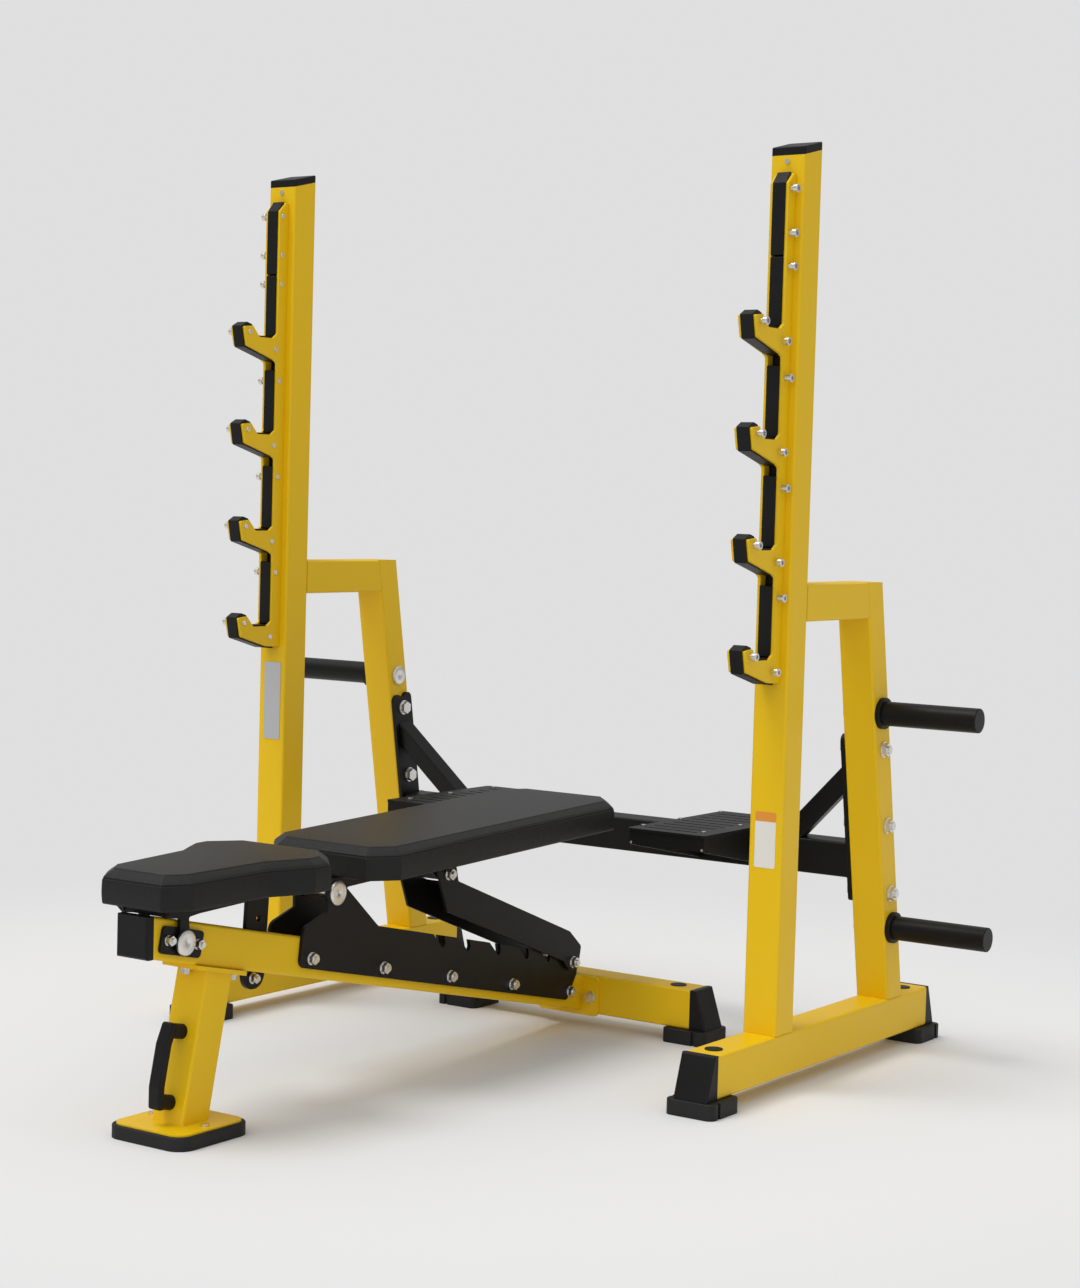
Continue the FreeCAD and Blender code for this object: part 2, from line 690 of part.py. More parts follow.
def handle():
    """Bowed grab handle on two round stand-offs, on the front leg's face."""
    face = -FRONT_LEG_D / 2
    points = [(-39, -73), (-47, -36), (-47, 36), (-39, 73), (-24, 73), (-31, 34), (-31, -34), (-24, -73)]
    points = [(face + u, HANDLE_MIDDLE + w) for u, w in points]
    grip = plate(points, [6, 30, 30, 6, 4, 24, 24, 4], -12, 12)
    grip = soften(grip, 3.0, lambda p, e: abs(abs(p.x) - 12) < 0.01 and p.y < face - 30)
    parts = [grip]
    for w in (-59.5, 59.5):
        parts.append(rod(0, face - 30, HANDLE_MIDDLE + w, 13.0, 30, Y_AXIS))
    return on_beam(fused(parts), LEG_STATION)


def cross_foot():
    beam = turned(tube(BASE_H, BENCH_TUBE, 2 * CROSS_HALF), 90, Y_AXIS)
    beam = moved(beam, -CROSS_HALF, CROSS_FRONT + BENCH_TUBE / 2, FOOT_H + BASE_H / 2)
    for side in (-1, 1):
        x = side * (CROSS_HALF - CROSS_PLUG_IN)
        beam = beam.cut(rod(x, CROSS_FRONT + BENCH_TUBE / 2, BASE_TOP - WALL - 1, 14.0, WALL + 2, Z_AXIS))
    return beam


def cross_cap():
    """Sloped cap of the bench's cross foot, at its +X end."""
    cap = turned(end_cap(BENCH_TUBE / 2, BASE_H), 90, Z_AXIS)
    return moved(cap, CROSS_HALF, CROSS_FRONT + BENCH_TUBE / 2, FOOT_H)


def saddle_plate():
    """Plate welded to the main beam's rear end and bolted to the cross foot."""
    low = FOOT_H - 4
    high = BASE_TOP - 2
    body = box(-75, 75, CROSS_FRONT - SADDLE, CROSS_FRONT, low, high)
    return soften(body, 12.0, lambda p, e: abs(e.tangentAt(e.FirstParameter).y) > 0.99)


def saddle_bolts():
    """Two bolts through the saddle plate and the cross foot's front wall."""
    bolts = []
    for x in (-55, 55):
        front = CROSS_FRONT - SADDLE
        bolt = rod(x, front - 2.5, 65, 6.0, SADDLE + WALL + 10, Y_AXIS)
        bolt = bolt.fuse(rod(x, front - 2.5, 65, 12.0, 2.5, Y_AXIS))
        head = turned(hexagon(0, 0, 0, 19.0, 9.0), -90, Z_AXIS)
        bolt = bolt.fuse(moved(head, x, front - 2.5, 65))
        bolts.append(bolt)
    return bolts


def flange_bolts():
    """Bolts up through the front leg's flange into the main beam's lower wall."""
    bolts = []
    under = -BENCH_TUBE / 2 - LEG_FLANGE
    for x, y in ((0, -48), (-22, 48), (22, 48)):
        bolt = rod(x, y, under - 2, 5.0, LEG_FLANGE + 2 + WALL + 3, Z_AXIS)
        bolt = bolt.fuse(rod(x, y, under - 2, 9.0, 2, Z_AXIS))
        head = moved(turned(hexagon(0, 0, 0, 15.0, 8.0), 90, Y_AXIS), x, y, under - 2)
        bolts.append(on_beam(bolt.fuse(head), LEG_STATION))
    return bolts


def foot_bolts():
    """Screws from the foot plate down into the rubber shoe."""
    bolts = []
    for x in (-60, 60):
        head = Part.makeCylinder(7.0, 4.0, V(x, SHOE_MIDDLE - 2, FOOT_PLATE_TOP))
        shank = Part.makeCylinder(4.0, 16.0, V(x, SHOE_MIDDLE - 2, FOOT_PLATE_TOP - 16.0))
        bolts.append(head.fuse(shank))
    return bolts


def ladder_bolts():
    outer = BENCH_TUBE / 2 + LADDER
    return [through_bolt(-outer, outer, y, beam_axis(y), 6.0, 11.5, 18.0) for y in LADDER_BOLTS]


def pivot_plate():
    """Reinforcing plate round the seat pivot, on the beam's side."""
    half = BENCH_TUBE / 2
    body = box(half, half + LADDER, -50, 50, -23, 23)
    body = soften(body, 8.0, lambda p, e: abs(e.tangentAt(e.FirstParameter).x) > 0.99)
    body = body.cut(rod(half - 1, 0, 0, SEAT_PIN_R + RUN_FIT, LADDER + 2))
    return on_beam(body, SEAT_PIVOT_Y)


def pivot_plate_bolts():
    outer = BENCH_TUBE / 2 + LADDER
    along = 36.5
    bolts = []
    for side in (-1, 1):
        bolt = through_bolt(-outer, outer, side * along, 0, 5.0, 9.0, 15.0)
        bolts.append(on_beam(bolt, SEAT_PIVOT_Y))
    return bolts


# ---------------------------------------------------------------- back linkage
def notch_cut(y, z):
    """Hooked notch: a round floor, a sloping front wall and an upright rear wall."""
    top = LADDER_RISE - BOLT_LIFT + 12
    opening = [(y - 4, z - 5), (y - 44, z + top + 8), (y + 2, z + top - 4), (y + NOTCH_R - 0.4, z + 2)]
    half = BENCH_TUBE / 2
    x0 = half - 1
    x1 = half + LADDER + 1
    mouth = plate(opening, [2, 0, 0, 2], x0, x1)
    return mouth.fuse(rod(x0, y, z, NOTCH_R, x1 - x0))


def ladder_plate():
    """Long side plate with the back's pivot ear in front and the strut's notches."""
    half = BENCH_TUBE / 2
    rear = 230.0
    under = BENCH_TUBE / math.cos(math.radians(SLOPE)) - 17
    front = BACK_PIVOT_Y - 99
    points = [(front, beam_top(front) - under), (front + 9, 323), (BACK_PIVOT_Y - 24, 344)]
    points += [(BACK_PIVOT_Y - 24, BACK_PIVOT_Z), (BACK_PIVOT_Y + 26, BACK_PIVOT_Z + 8)]
    points += [(BACK_PIVOT_Y + 123, beam_top(BACK_PIVOT_Y + 123) + LADDER_RISE)]
    points += [(rear, beam_top(rear) + LADDER_RISE), (rear, 118), (rear - 33, beam_top(rear - 33) - under)]
    body = plate(points, [16, 20, 0, 0, 0, 18, 6, 14, 14], half, half + LADDER)
    body = body.fuse(rod(half, BACK_PIVOT_Y, BACK_PIVOT_Z, 27.0, LADDER)).removeSplitter()
    body = body.cut(notch_cut(STRUT_REST_Y, STRUT_REST_Z))
    for y in NOTCHES:
        body = body.cut(notch_cut(y, beam_top(y) + BOLT_LIFT))
    return body.cut(rod(half - 1, BACK_PIVOT_Y, BACK_PIVOT_Z, BACK_PIN_R + RUN_FIT, LADDER + 2))


def pad_low(y):
    """Underside of the back pad's board at rest."""
    middle = (BACK_FRONT + BACK_REAR) / 2
    return BACK_LOW_MIDDLE + math.tan(math.radians(PAD_SLOPE)) * (y - middle)


def back_frame():
    """Shallow channel under the back pad, with pivot ears and the strut's lug."""
    outer = BENCH_TUBE / 2 - AIR
    y0 = BACK_PIVOT_Y - 4
    y1 = 130.0
    web = plate([(y0, pad_low(y0) - 4), (y1, pad_low(y1) - 4), (y1, pad_low(y1)), (y0, pad_low(y0))], 0, -outer, outer)
    cheek = [(y0 - 8, pad_low(y0) - 3), (BACK_PIVOT_Y - 18, BACK_PIVOT_Z), (BACK_PIVOT_Y, BACK_PIVOT_Z - 18)]
    cheek += [(BACK_PIVOT_Y + 40, pad_low(BACK_PIVOT_Y + 40) - 22), (STRUT_PIVOT_Y - 45, pad_low(STRUT_PIVOT_Y) - 22)]
    cheek += [(STRUT_PIVOT_Y - 14, STRUT_PIVOT_Z - 10), (STRUT_PIVOT_Y + 14, STRUT_PIVOT_Z - 10)]
    cheek += [(STRUT_PIVOT_Y + 45, pad_low(STRUT_PIVOT_Y) - 22), (y1, pad_low(y1) - 22), (y1, pad_low(y1) - 2)]
    radii = [2, 8, 12, 8, 10, 8, 8, 10, 4, 0]
    parts = [web]
    for x in (-outer, outer - LADDER):
        parts.append(plate(cheek, radii, x, x + LADDER))
    parts.append(rod(-STRUT_IN + AIR, STRUT_PIVOT_Y, STRUT_PIVOT_Z, 13.0, 2 * (STRUT_IN - AIR)))
    for y in (y1 - 45, STRUT_PIVOT_Y + 120, BACK_PIVOT_Y + 70):
        slope = math.tan(math.radians(PAD_SLOPE)) * 20
        low = pad_low(y) - 4
        cross = [(y - 20, low - slope), (y + 20, low + slope), (y + 20, low + slope + 4), (y - 20, low - slope + 4)]
        parts.append(plate(cross, 0, -95, 95))
    return fused(parts)


def back_pins():
    """Pivot pin with its end discs, and the strut's upper bolt with nuts."""
    outer = BENCH_TUBE / 2 + LADDER + AIR
    pin = rod(-outer, BACK_PIVOT_Y, BACK_PIVOT_Z, BACK_PIN_R, 2 * outer)
    for x in (-outer - 4, outer):
        pin = pin.fuse(rod(x, BACK_PIVOT_Y, BACK_PIVOT_Z, 22.0, 4))
    cheek = STRUT_IN + STRUT_SHEET + AIR
    return [pin, through_bolt(-cheek, cheek, STRUT_PIVOT_Y, STRUT_PIVOT_Z, STRUT_BOLT_R, 12.0, 19.0)]


def back_strut():
    """Deep folded channel that props the back, astride the ladder plates: an ear up to
    the pivot in front, the cross bolt low in its rear end, and the web on top."""
    y0, z0 = STRUT_PIVOT_Y, STRUT_PIVOT_Z
    y1, z1 = STRUT_REST_Y, STRUT_REST_Z
    shoulder = (y0 + 33, z0 - 17.6)
    heel = (y1 - 12.8, z1 + 64.9)
    cheek = [(y0 - 27, z0 + 21.4), (y0 - 31, z0 + 3.4), (y0, z0 - 72.7), (y1 - 34.3, z1 + 6.5)]
    cheek += [(y1 - 9.3, z1 - 17.5), (y1 + 20.7, z1 - 17.5), (y1 + 30.7, z1 + 29.2), heel, shoulder]
    cheek.append((y0 + 23, z0 + 21.4))
    radii = [16, 12, 8, 10, 8, 10, 8, 5, 6, 20]
    fall = (heel[1] - shoulder[1]) / (heel[0] - shoulder[0])
    web = []
    for y, drop in ((y0 + 51, 1.2), (y1 - 34, 1.2), (y1 - 34, 6.5), (y0 + 51, 6.5)):
        web.append((y, shoulder[1] + fall * (y - shoulder[0]) - drop))
    parts = [plate(web, 0, -STRUT_IN, STRUT_IN)]
    for x in (-STRUT_IN - STRUT_SHEET, STRUT_IN):
        parts.append(plate(cheek, radii, x, x + STRUT_SHEET))
    strut = fused(parts)
    outer = STRUT_IN + STRUT_SHEET + 1
    strut = strut.cut(rod(-outer, y0, z0, STRUT_BOLT_R + RUN_FIT, 2 * outer))
    return strut.cut(rod(-outer, y1, z1, STRUT_BOLT_R, 2 * outer))


def strut_bolt():
    outer = STRUT_IN + STRUT_SHEET
    return through_bolt(-outer, outer, STRUT_REST_Y, STRUT_REST_Z, STRUT_BOLT_R, 12.0, 19.0)


# ---------------------------------------------------------------- pads
def polygon_inset(points, distance):
    """Closed plan outline moved inwards by a distance, with mitred corners."""
    count = len(points)
    result = []
    for i in range(count):
        before = V(*points[i - 1])
        here = V(*points[i])
        after = V(*points[(i + 1) % count])
        along_in = (here - before).normalize()
        along_out = (after - here).normalize()
        normal_in = V(-along_in.y, along_in.x, 0)
        normal_out = V(-along_out.y, along_out.x, 0)
        mitre = (normal_in + normal_out) / (1 + normal_in.dot(normal_out))
        moved_point = here + mitre * distance
        result.append((moved_point.x, moved_point.y))
    return result


def level_wire(points, radius, z):
    """Rounded plan outline at a height, corners in the same order at every height."""
    count = len(points)
    edges = []
    ends = []
    for i in range(count):
        here = V(points[i][0], points[i][1], z)
        to_before = (V(points[i - 1][0], points[i - 1][1], z) - here).normalize()
        to_after = (V(points[(i + 1) % count][0], points[(i + 1) % count][1], z) - here).normalize()
        half = to_before.getAngle(to_after) / 2
        cut = radius / math.tan(half)
        centre = here + (to_before + to_after).normalize() * (radius / math.sin(half))
        middle = centre + (here - centre).normalize() * radius
        ends.append((here + to_before * cut, middle, here + to_after * cut))
    for i in range(count):
        first, middle, last = ends[i]
        edges.append(Part.Arc(first, middle, last).toShape())
        edges.append(Part.LineSegment(last, ends[(i + 1) % count][0]).toShape())
    return Part.Wire(edges)


def both_sides(half_outline):
    """Closed plan, counter-clockwise, from (half width, y) pairs going to +Y."""
    right = list(half_outline)
    left = [(-x, y) for x, y in reversed(right)]
    return right + left


def prism(points, radius, low, high):
    return Part.Face(level_wire(points, radius, low)).extrude(V(0, 0, high - low))


def cushion(points):
    """Pad with upright sides and a sloping bevel up to the flat top, base at z=0."""
    lower = level_wire(points, PAD_CORNER, PAD_SIDE)
    upper = level_wire(polygon_inset(points, PAD_BEVEL), PAD_CORNER / 2, PAD_SIDE + PAD_RISE)
    bevel = Part.makeLoft([lower, upper], True, True)
    return prism(points, PAD_CORNER, BOARD - 3, PAD_SIDE).fuse(bevel)


def board(points):
    return prism(polygon_inset(points, 5.0), PAD_CORNER - 3, 0, BOARD - 3)


def seat_plan():
    """Saddle-shaped seat: a narrow nose, waist and wide rear with cut corners."""
    nose = [(60, SEAT_FRONT), (96, SEAT_FRONT + 46)]
    flank = [(112, SEAT_FRONT + 219), (131, SEAT_FRONT + 256), (149, SEAT_FRONT + 293)]
    rear = [(150, SEAT_FRONT + 333), (95, SEAT_REAR)]
    return both_sides(nose + flank + rear)


def back_plan():
    front = [(PAD_HALF - 45, BACK_FRONT), (PAD_HALF, BACK_FRONT + 45)]
    rear = [(PAD_HALF, BACK_REAR - 55), (PAD_HALF - 48, BACK_REAR)]
    return both_sides(front + rear)


def lay(shape, slope, y, z):
    """Tilt a level pad about its plan station y, whose base is lifted to z."""
    return moved(turned(shape, slope, X_AXIS, V(0, y, 0)), 0, 0, z)


def place_seat(shape):
    return lay(shape, SEAT_SLOPE, SEAT_PIVOT_Y, SEAT_LOW)


def place_back(shape):
    return lay(shape, PAD_SLOPE, (BACK_FRONT + BACK_REAR) / 2, BACK_LOW_MIDDLE)


def seat_frame():
    """Bracket under the seat: a plate, two arms down to the pivot and a front web."""
    y, z = seat_pivot()
    arm_in = BENCH_TUBE / 2 + LADDER + AIR
    arm_out = arm_in + LADDER
    top = SEAT_LOW
    rise = math.tan(math.radians(SEAT_SLOPE))
    y0 = y - 56
    y1 = y + 245
    roof = [(y0, top - 5 - rise * 56), (y1, top - 5 + rise * 245), (y1, top + rise * 245), (y0, top - rise * 56)]
    parts = [plate(roof, 0, -62, 62)]
    arm = [(y0, top - 3 - rise * 56), (y0 + 4, top - 16), (y - 13, top - 21), (y - 12, z - 5), (y, z - 14)]
    arm += [(y + 12, z - 5), (y + 8, top - 21), (y + 34, top - 18), (y + 150, top - 13), (y + 160, top - 3 + rise * 160)]
    radii = [0, 4, 4, 6, 8, 6, 4, 12, 3, 0]
    for x in (-arm_out, arm_in):
        parts.append(plate(arm, radii, x, x + LADDER))
    gusset = [V(arm_out - 1, 0, top - 17), V(arm_out + 14, 0, top - 6), V(arm_out + 14, 0, top - 3), V(arm_out - 1, 0, top - 3)]
    web = Part.Face(Part.makePolygon(gusset + gusset[:1])).extrude(V(0, 5, 0))
    web = moved(web, 0, y0 + 4, 0)
    parts += [web, mirrored(web)]
    parts.append(box(-arm_in - 1, arm_in + 1, y0 + 4, y0 + 9, top - 14, top - 3))
    return fused(parts)


def seat_adjuster():
    """Hanging plate that passes through the beam, with one hole for each height."""
    upper, _ = on_arc(-SLOPE + SEAT_TRAVEL)
    lower, low_z = on_arc(-22.0, ARC_R + 6)
    half = ARC_PLATE / 2
    top = SEAT_LOW - 2
    points = [(lower - ARC_HALF, low_z - 27), (upper - ARC_HALF, top), (upper + ARC_HALF, top)]
    points += [(lower + ARC_HALF, low_z - 27)]
    body = plate(points, [26, 0, 0, 26], -half, half)
    for angle in (-SLOPE, -SLOPE + SEAT_TRAVEL):
        hole_y, hole_z = on_arc(angle)
        body = body.cut(rod(-half - 1, hole_y, hole_z, PULL_PIN_R + 0.5, 2 * half + 2))
    return body


def seat_stop_bolt():
    """Cross bolt through the adjuster's lower end, which stops it under the beam."""
    y, _ = on_arc(-22.0)
    y += 3
    z = beam_top(y) - BENCH_TUBE / math.cos(math.radians(SLOPE)) - 12.5
    return through_bolt(-ARC_PLATE / 2, ARC_PLATE / 2, y, z, 5.0, 10.0, 15.0)


def seat_pin():
    """Seat pivot pin, fixed in the arms, with a disc outside each arm."""
    y, z = seat_pivot()
    outer = BENCH_TUBE / 2 + LADDER + AIR + LADDER
    pin = rod(-outer, y, z, SEAT_PIN_R, 2 * outer)
    for x in (-outer - 4, outer):
        pin = pin.fuse(rod(x, y, z, 21.5, 4))
    return pin


def pull_pin_housing():
    y, z = on_arc(-SLOPE)
    half = BENCH_TUBE / 2
    sleeve = rod(-half - 24, y, z, 11.0, 24)
    flange = rod(-half - 4, y, z, 15.0, 4)
    return sleeve.fuse(flange).cut(rod(-half - 30, y, z, PULL_PIN_R + RUN_FIT, 40))


def pull_pin():
    """Locking pin with its knob, drawn out just short of the adjuster."""
    y, z = on_arc(-SLOPE)
    half = BENCH_TUBE / 2
    tip = -ARC_PLATE / 2 - PULL_PIN_AIR
    knob_face = -half - 24 - PULL_TRAVEL - PULL_PIN_AIR
    pin = rod(knob_face - 6, y, z, PULL_PIN_R, tip - knob_face + 6)
    knob = soften(rod(knob_face - 20, y, z, 17.0, 20), 4.0, lambda p, e: True)
    return pin.fuse(knob)


# ---------------------------------------------------------------- the whole
def carve(host, *tools):
    """Cut the holes of pins and bolts out of a node that they pass through."""
    for tool in tools:
        NODES[host] = NODES[host].cut(NODES[tool])


def build_rack():
    keep_pair("base_beam", base_beam())
    keep_pair("upright", upright())
    keep_pair("top_link", top_link())
    keep_pair("rear_leg", rear_leg())
    keep("upright_caps", joined([upright_cap(), mirrored(upright_cap())]))
    front = moved(end_cap(TUBE / 2, BASE_H), SPAN, BASE_FRONT, FOOT_H)
    rear = moved(turned(end_cap(TUBE / 2, BASE_H), 180, Z_AXIS), SPAN, BASE_REAR, FOOT_H)
    keep("base_end_caps", joined([front, rear, mirrored(front), mirrored(rear)]))
    feet = []
    plugs = []
    for side in (-1, 1):
        for y, turn in ((BASE_FRONT + FOOT_SIZE / 2 - FOOT_PAST_END, 180), (BASE_REAR - FOOT_SIZE / 2 + FOOT_PAST_END, 0)):
            feet.append(moved(turned(rubber_foot(), turn, Z_AXIS), side * SPAN, y, 0))
        for y in (BASE_FRONT + PLUG_IN, BASE_REAR - PLUG_IN):
            plugs.append(moved(plug(), side * SPAN, y, BASE_TOP))
    keep("base_feet", joined(feet))
    keep("base_beam_plugs", joined(plugs))
    keep_pair("hook_bolts", hook_bolts())
    keep_pair("hook_plates", hook_plates())
    keep_pair("hook_liners", hook_liners())
    for side in ("left", "right"):
        carve("hook_plates_" + side, "hook_bolts_" + side)
        carve("hook_liners_" + side, "hook_bolts_" + side)
    fixings = []
    for level, z in zip(("upper", "lower"), PEG_HEIGHTS):
        keep_pair("storage_peg_" + level, storage_peg(z))
        fixings += [peg_fixing(z), mirrored(peg_fixing(z))]
    keep("peg_fixings", joined(fixings))
    keep("crossbeam", crossbeam())
    keep("crossbeam_end_plates", joined([end_plate(), mirrored(end_plate())]))
    keep("crossbeam_braces", joined([brace(), mirrored(brace())]))
    keep("crossbeam_bolts", joined([joint_bolts(), mirrored(joint_bolts())]))
    keep_pair("spotter_platform", spotter_platform())
    screws = platform_screws() + [upright_screw()]
    keep("small_screws", joined(screws + [mirrored(s) for s in screws]))
    keep("name_plate", name_plate())
    keep("blank_label", blank_label())
    carve("crossbeam_end_plates", "crossbeam_bolts")
    for side in ("left", "right"):
        carve("rear_leg_" + side, "peg_fixings", "crossbeam_bolts")
        carve("storage_peg_upper_" + side, "peg_fixings")
        carve("storage_peg_lower_" + side, "peg_fixings")
        carve("spotter_platform_" + side, "small_screws")
        carve("upright_" + side, "small_screws")
    carve("upright_caps", "small_screws")


def build_bench():
    keep("bench_main_beam", main_beam())
    keep("bench_beam_cap", beam_cap())
    keep("bench_front_leg", front_leg())
    keep("bench_shoe", shoe())
    keep("bench_handle", handle())
    keep("bench_cross_foot", cross_foot())
    keep("bench_cross_caps", joined([cross_cap(), mirrored(cross_cap())]))
    feet = []
    plugs = []
    for side in (-1, 1):
        middle = CROSS_FRONT + BENCH_TUBE / 2
        foot = turned(rubber_foot(), -90 * side, Z_AXIS)
        feet.append(moved(foot, side * (CROSS_HALF - FOOT_SIZE / 2 + FOOT_PAST_END), middle, 0))
        plugs.append(moved(plug(), side * (CROSS_HALF - CROSS_PLUG_IN), middle, BASE_TOP))
    keep("bench_feet", joined(feet))
    keep("bench_plugs", joined(plugs))
    keep("bench_saddle_plate", saddle_plate())
    keep_pair("ladder_plate", ladder_plate())
    keep("seat_pivot_plates", joined([pivot_plate(), mirrored(pivot_plate())]))
    bolts = ladder_bolts() + pivot_plate_bolts() + saddle_bolts() + flange_bolts() + foot_bolts()
    keep("bench_bolts", joined(bolts))
    keep("pull_pin_housing", pull_pin_housing())
    for host in ("bench_main_beam", "bench_front_leg", "bench_shoe", "bench_cross_foot", "bench_saddle_plate",
                 "ladder_plate_left", "ladder_plate_right", "seat_pivot_plates"):
        carve(host, "bench_bolts")


def build_seat():
    keep("seat_pivot_pin", seat_pin())
    keep("seat_frame", seat_frame())
    keep("seat_board", place_seat(board(seat_plan())))
    keep("seat_pad", place_seat(cushion(seat_plan())))
    keep("seat_adjuster", seat_adjuster())
    keep("seat_stop_bolt", seat_stop_bolt())
    keep("seat_pull_pin", pull_pin())
    carve("seat_frame", "seat_pivot_pin")
    carve("seat_adjuster", "seat_stop_bolt", "seat_frame")


def build_back():
    keep("back_pins", joined(back_pins()))
    keep("back_frame", back_frame())
    keep("back_board", place_back(board(back_plan())))
    keep("back_pad", place_back(cushion(back_plan())))
    keep("back_strut", back_strut())
    keep("strut_bolt", strut_bolt())
    carve("back_frame", "back_pins", "back_board")


def write_all():
    os.makedirs("parts", exist_ok=True)
    for name, shape in NODES.items():
        shape = moved(shape, 0, -PLAN_MID, 0)
        shape.exportStep("parts/" + name + ".step")
        size = shape.BoundBox
        print(name, len(shape.Solids), shape.isValid(), [round(v, 1) for v in
              (size.XMin, size.XMax, size.YMin, size.YMax, size.ZMin, size.ZMax)])


build_rack()
build_bench()
build_seat()
build_back()
write_all()
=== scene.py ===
import json
import math
import bpy
import numpy as np
from mathutils import Matrix, Vector


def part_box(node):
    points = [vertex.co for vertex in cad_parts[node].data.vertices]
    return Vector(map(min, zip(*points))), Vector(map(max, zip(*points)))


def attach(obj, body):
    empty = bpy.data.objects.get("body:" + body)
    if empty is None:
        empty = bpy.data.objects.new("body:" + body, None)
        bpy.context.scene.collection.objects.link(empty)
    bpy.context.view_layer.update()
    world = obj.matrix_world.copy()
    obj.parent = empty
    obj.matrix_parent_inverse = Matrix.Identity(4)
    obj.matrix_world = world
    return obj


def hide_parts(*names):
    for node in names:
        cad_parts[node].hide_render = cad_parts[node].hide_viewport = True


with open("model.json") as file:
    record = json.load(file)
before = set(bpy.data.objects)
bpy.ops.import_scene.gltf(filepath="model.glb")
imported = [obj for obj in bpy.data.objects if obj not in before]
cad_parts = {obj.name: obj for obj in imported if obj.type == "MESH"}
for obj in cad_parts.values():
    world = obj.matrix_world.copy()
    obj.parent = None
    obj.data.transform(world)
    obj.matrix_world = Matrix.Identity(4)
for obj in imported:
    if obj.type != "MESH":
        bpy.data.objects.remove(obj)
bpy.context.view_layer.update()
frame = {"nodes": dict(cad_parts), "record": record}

# Looks of an olympic bench press: powder-coated steel tubes, black plates, plastic
# liners, rubber feet, bright bolts and upholstered pads.  Metres, in the CAD frame.

NODES = frame["nodes"]
RECORD = frame["record"]


# ---------------------------------------------------------------- node groups
def new_group(name, inputs, outputs):
    """Empty shader node group with float or vector sockets; returns group, in, out."""
    group = bpy.data.node_groups.new(name, "ShaderNodeTree")
    for label, kind, value in inputs:
        socket = group.interface.new_socket(label, in_out="INPUT", socket_type=kind)
        if value is not None:
            socket.default_value = value
    for label, kind in outputs:
        group.interface.new_socket(label, in_out="OUTPUT", socket_type=kind)
    entry = group.nodes.new("NodeGroupInput")
    leave = group.nodes.new("NodeGroupOutput")
    return group, entry, leave


def add(tree, kind, **values):
    """New node with attributes set, and inputs set where the key names a socket."""
    node = tree.nodes.new(kind)
    for key, value in values.items():
        if hasattr(node, key):
            setattr(node, key, value)
        else:
            node.inputs[key.replace("_", " ")].default_value = value
    return node


def wire(tree, out_socket, in_socket):
    tree.links.new(out_socket, in_socket)


def powder_group():
    """Powder coat: fine orange-peel height, and a broad slight change of sheen."""
    group, entry, leave = new_group("powder coat", [("Scale", "NodeSocketFloat", 900.0)],
                                    [("Height", "NodeSocketFloat"), ("Sheen", "NodeSocketFloat")])
    place = add(group, "ShaderNodeTexCoord")
    peel = add(group, "ShaderNodeTexNoise", Detail=2.0, Roughness=0.45)
    wire(group, place.outputs["Object"], peel.inputs["Vector"])
    wire(group, entry.outputs["Scale"], peel.inputs["Scale"])
    broad = add(group, "ShaderNodeTexNoise", Scale=7.0, Detail=3.0)
    wire(group, place.outputs["Object"], broad.inputs["Vector"])
    spread = add(group, "ShaderNodeMapRange", From_Min=0.3, From_Max=0.7, To_Min=-0.03, To_Max=0.03)
    wire(group, broad.outputs["Fac"], spread.inputs["Value"])
    wire(group, peel.outputs["Fac"], leave.inputs["Height"])
    wire(group, spread.outputs["Result"], leave.inputs["Sheen"])
    return group


def leather_group():
    """Upholstery vinyl: closed pebble cells, finer pores and slanting stretch lines."""
    group, entry, leave = new_group("vinyl grain", [("Scale", "NodeSocketFloat", 420.0)],
                                    [("Height", "NodeSocketFloat"), ("Mask", "NodeSocketFloat")])
    place = add(group, "ShaderNodeTexCoord")
    warp = add(group, "ShaderNodeTexNoise", Scale=60.0, Detail=2.0)
    wire(group, place.outputs["Object"], warp.inputs["Vector"])
    bend = add(group, "ShaderNodeVectorMath", operation="MULTIPLY_ADD")
    bend.inputs[1].default_value = (0.006, 0.006, 0.006)
    wire(group, warp.outputs["Color"], bend.inputs[0])
    wire(group, place.outputs["Object"], bend.inputs[2])
    cells = add(group, "ShaderNodeTexVoronoi", feature="DISTANCE_TO_EDGE")
    wire(group, bend.outputs["Vector"], cells.inputs["Vector"])
    wire(group, entry.outputs["Scale"], cells.inputs["Scale"])
    pebble = add(group, "ShaderNodeMapRange", From_Min=0.0, From_Max=0.25, To_Min=0.0, To_Max=1.0)
    pebble.interpolation_type = "SMOOTHSTEP"
    wire(group, cells.outputs["Distance"], pebble.inputs["Value"])
    slant = add(group, "ShaderNodeMapping")
    slant.inputs["Rotation"].default_value = (0.0, 0.0, 0.9)
    slant.inputs["Scale"].default_value = (1.0, 5.5, 1.0)
    wire(group, bend.outputs["Vector"], slant.inputs["Vector"])
    crease = add(group, "ShaderNodeTexNoise", Scale=55.0, Detail=4.0, Roughness=0.6)
    wire(group, slant.outputs["Vector"], crease.inputs["Vector"])
    both = add(group, "ShaderNodeMath", operation="MULTIPLY_ADD")
    both.inputs[1].default_value = 1.6
    wire(group, crease.outputs["Fac"], both.inputs[0])
    wire(group, pebble.outputs["Result"], both.inputs[2])
    wire(group, both.outputs["Value"], leave.inputs["Height"])
    wire(group, pebble.outputs["Result"], leave.inputs["Mask"])
    return group


